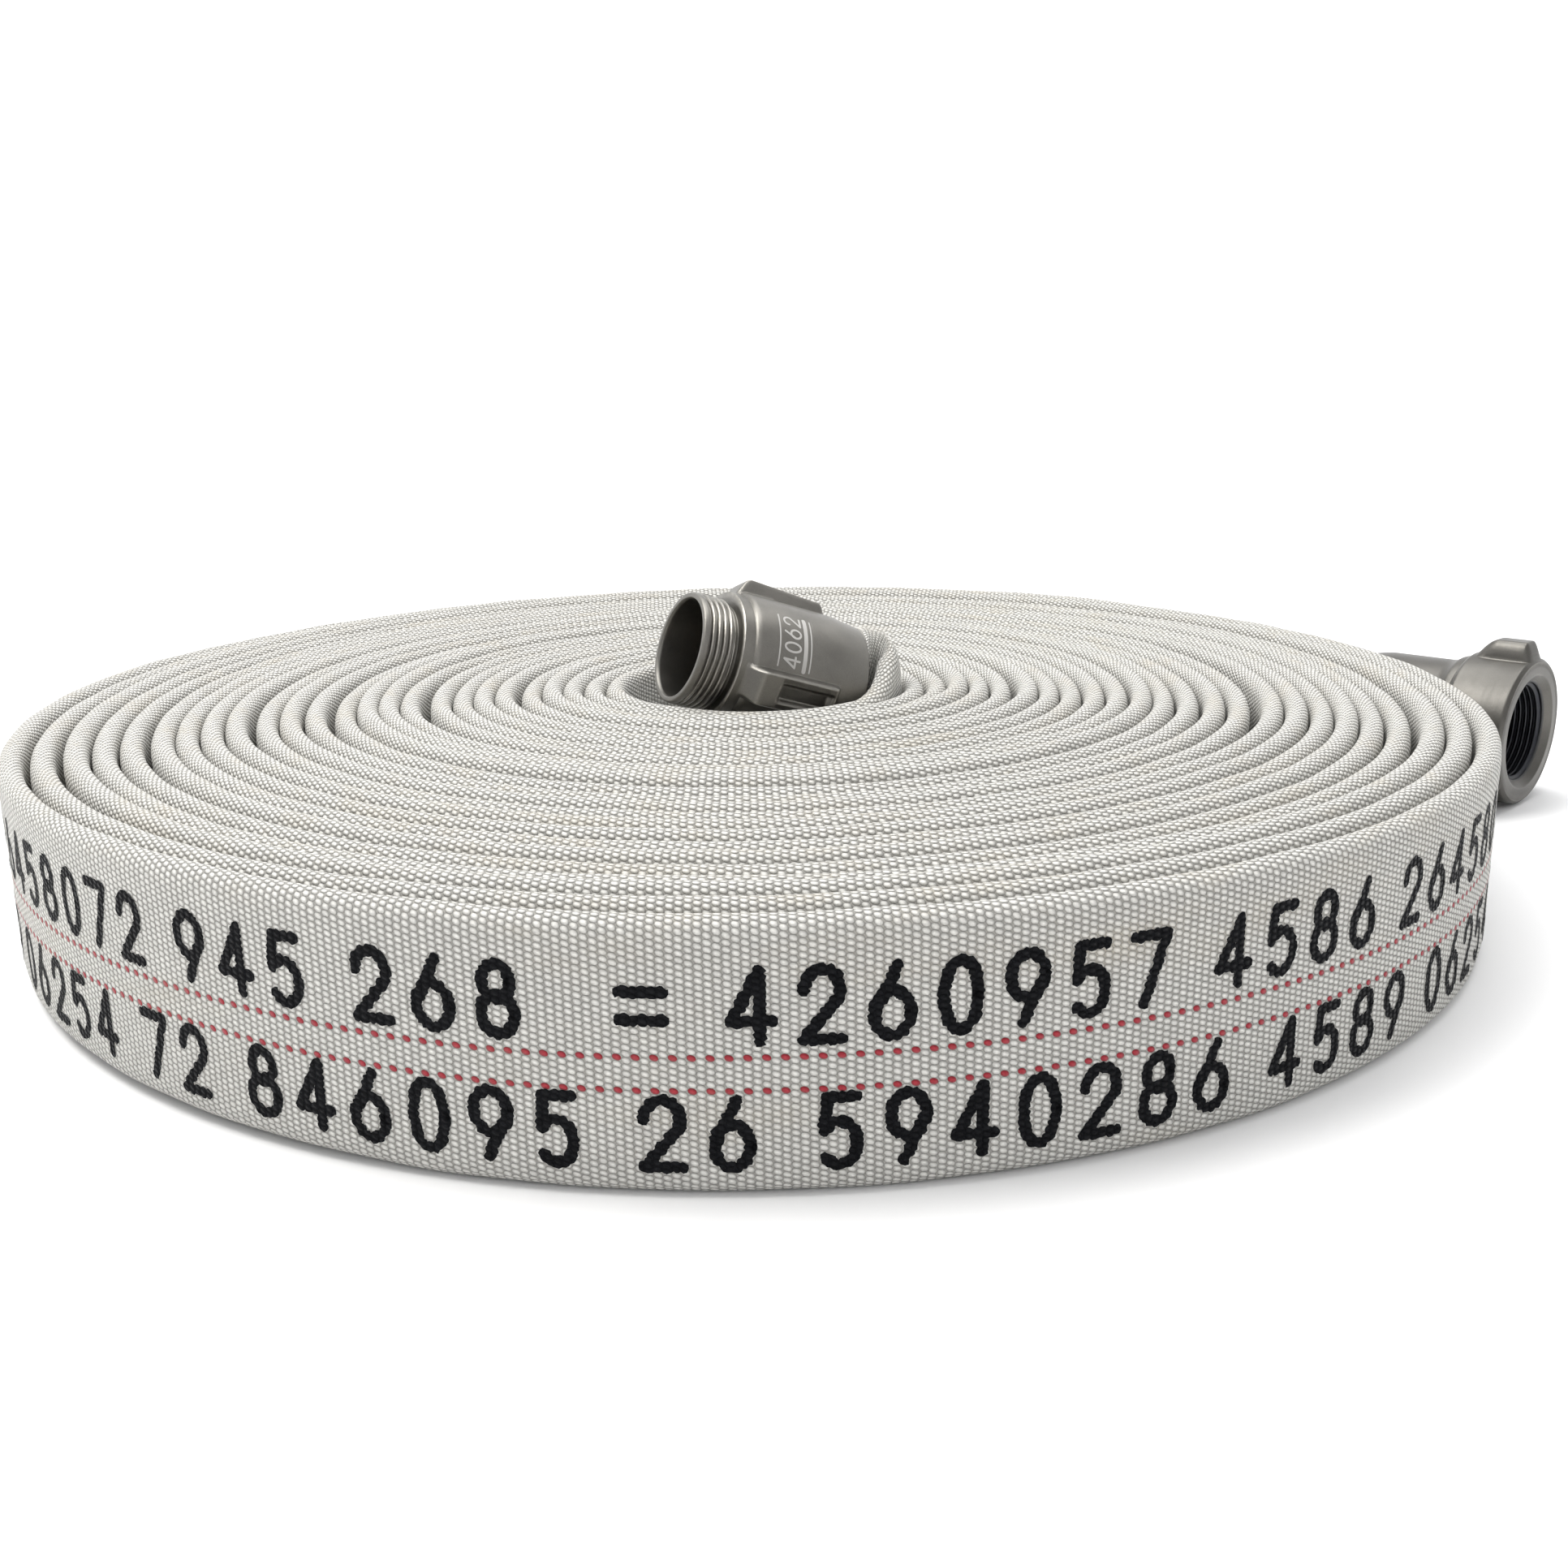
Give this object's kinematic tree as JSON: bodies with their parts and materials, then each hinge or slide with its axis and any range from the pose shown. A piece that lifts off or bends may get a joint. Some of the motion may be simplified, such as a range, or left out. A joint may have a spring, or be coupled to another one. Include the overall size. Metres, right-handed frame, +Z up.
{
  "type": "rolled fire hose",
  "caption": "Double-jacket lay-flat fire hose rolled into a flat coil, with a male threaded coupling inside the coil and a female swivel coupling outside it.",
  "frame": {"origin": "middle of the bottom of the whole object's box, on the surface that the roll lies on", "axes": "+Z up, along the coil's axis; +X towards the side where the female coupling leaves the coil, along the object's longest side"},
  "size_m": [0.7478, 0.642, 0.1328],
  "materials": {
    "outer_jacket": "white woven polyester",
    "inner_jacket": "undyed woven polyester",
    "liner": "smooth black synthetic rubber",
    "hard_anodised": "satin dark grey hard-anodised",
    "expansion_ring": "drawn brass",
    "gasket": "moulded black rubber",
    "ball": "polished stainless steel",
    "plug": "stainless steel"
  },
  "bodies": {
    "hose": {"outer_jacket_roll": "outer_jacket", "outer_jacket_inner_end": "outer_jacket", "outer_jacket_outer_end": "outer_jacket", "inner_jacket_roll": "inner_jacket", "inner_jacket_inner_end": "inner_jacket", "inner_jacket_outer_end": "inner_jacket", "liner_roll": "liner", "liner_inner_end": "liner", "liner_outer_end": "liner", "male_coupling": "hard_anodised", "male_expansion_ring": "expansion_ring", "male_tail_gasket": "gasket", "female_bowl": "hard_anodised", "female_expansion_ring": "expansion_ring", "female_tail_gasket": "gasket", "swivel_retaining_balls": "ball"},
    "swivel": {"female_swivel": "hard_anodised", "swivel_gasket": "gasket", "ball_race_plug": "plug"}
  },
  "joints": [
    {"name": "swivel_turn", "type": "hinge", "parent": "hose", "child": "swivel", "pos_m": [0.33242, 0.0598, 0.0385], "axis": [0.682, -0.7314, 0], "continuous": true}
  ]
}
